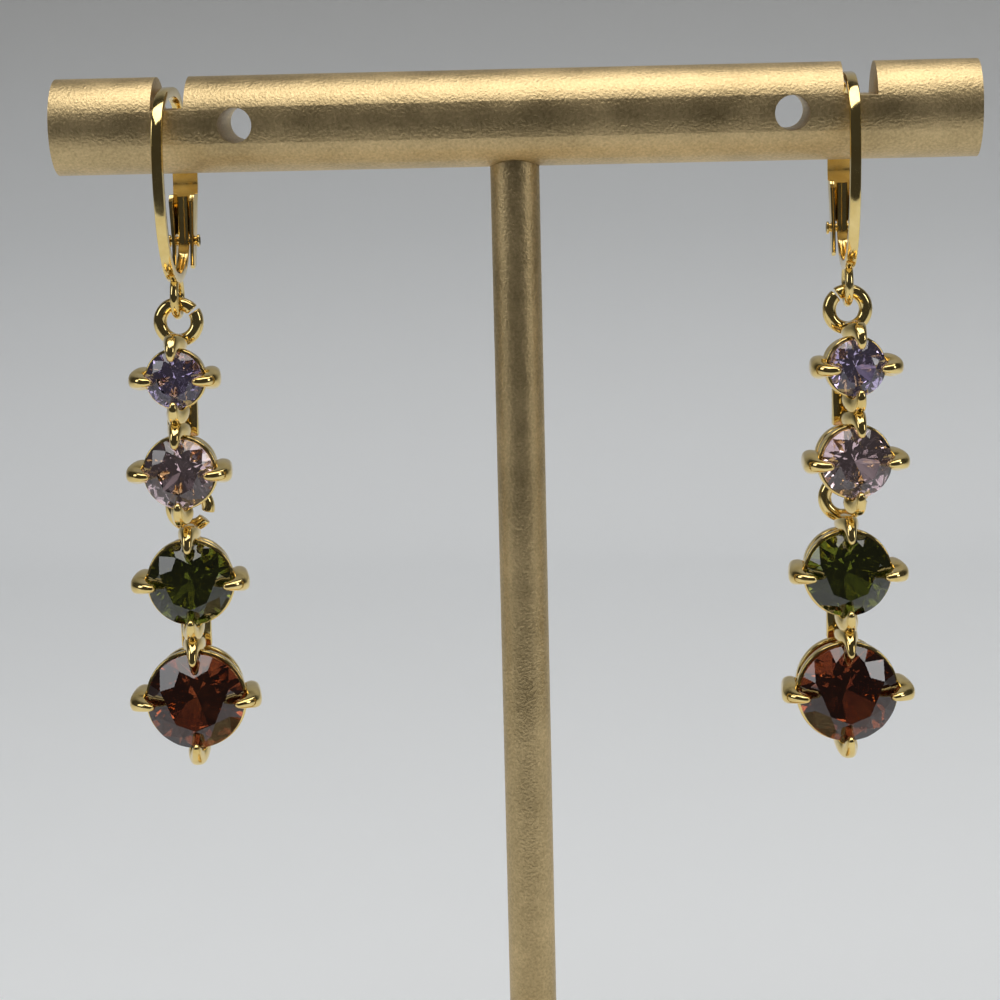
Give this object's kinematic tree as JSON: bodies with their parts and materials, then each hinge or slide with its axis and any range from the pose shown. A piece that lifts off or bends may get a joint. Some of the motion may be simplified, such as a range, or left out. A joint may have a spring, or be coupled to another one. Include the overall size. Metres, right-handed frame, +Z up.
{
  "type": "drop earrings on t-bar stand",
  "caption": "Lever-back drop earrings with claw-set round stones that grow towards the bottom, hanging on a small metal T-bar display stand.",
  "frame": {"origin": "middle of the stand base's underside, on the surface it stands on", "axes": "+Z up the post, +X along the bar to the viewer's right, -Y towards the viewer, where the stones face"},
  "size_m": [0.064, 0.044, 0.0953],
  "materials": {
    "stand_gold": "satin, fine-blasted champagne gold",
    "polished_gold": "polished yellow gold plate",
    "lavender_stone": "clear faceted lavender",
    "pink_stone": "clear faceted pale pink",
    "green_stone": "clear faceted deep olive green",
    "garnet_stone": "clear faceted deep brown red"
  },
  "bodies": {
    "stand": {"stand_base": "stand_gold", "stand_post": "stand_gold", "stand_bar": "stand_gold", "left_ear_hook": "polished_gold", "right_ear_hook": "polished_gold"},
    "left_lever": {"left_lever": "polished_gold"},
    "left_upper_drop": {"left_upper_setting": "polished_gold", "left_lavender_stone": "lavender_stone", "left_pink_stone": "pink_stone"},
    "left_lower_drop": {"left_lower_setting": "polished_gold", "left_green_stone": "green_stone", "left_garnet_stone": "garnet_stone"},
    "right_lever": {"right_lever": "polished_gold"},
    "right_upper_drop": {"right_upper_setting": "polished_gold", "right_lavender_stone": "lavender_stone", "right_pink_stone": "pink_stone"},
    "right_lower_drop": {"right_lower_setting": "polished_gold", "right_green_stone": "green_stone", "right_garnet_stone": "garnet_stone"}
  },
  "joints": [
    {"name": "left_lever_hinge", "type": "hinge", "parent": "stand", "child": "left_lever", "pos_m": [-0.02415, 0.004, 0.0836], "axis": [-1, 0, 0], "range_deg": [0, 60]},
    {"name": "left_upper_swing", "type": "hinge", "parent": "stand", "child": "left_upper_drop", "pos_m": [-0.02415, 0, 0.07865], "axis": [0, 1, 0], "range_deg": [-20, 20]},
    {"name": "left_lower_swing", "type": "hinge", "parent": "left_upper_drop", "child": "left_lower_drop", "pos_m": [-0.02415, 0.00115, 0.065], "axis": [0, 1, 0], "range_deg": [-20, 20]},
    {"name": "right_lever_hinge", "type": "hinge", "parent": "stand", "child": "right_lever", "pos_m": [0.02315, 0.004, 0.0836], "axis": [-1, 0, 0], "range_deg": [0, 60]},
    {"name": "right_upper_swing", "type": "hinge", "parent": "stand", "child": "right_upper_drop", "pos_m": [0.02315, 0, 0.07865], "axis": [0, 1, 0], "range_deg": [-20, 20]},
    {"name": "right_lower_swing", "type": "hinge", "parent": "right_upper_drop", "child": "right_lower_drop", "pos_m": [0.02297, 0.00114, 0.065], "axis": [0, 1, 0], "range_deg": [-20, 20]}
  ]
}
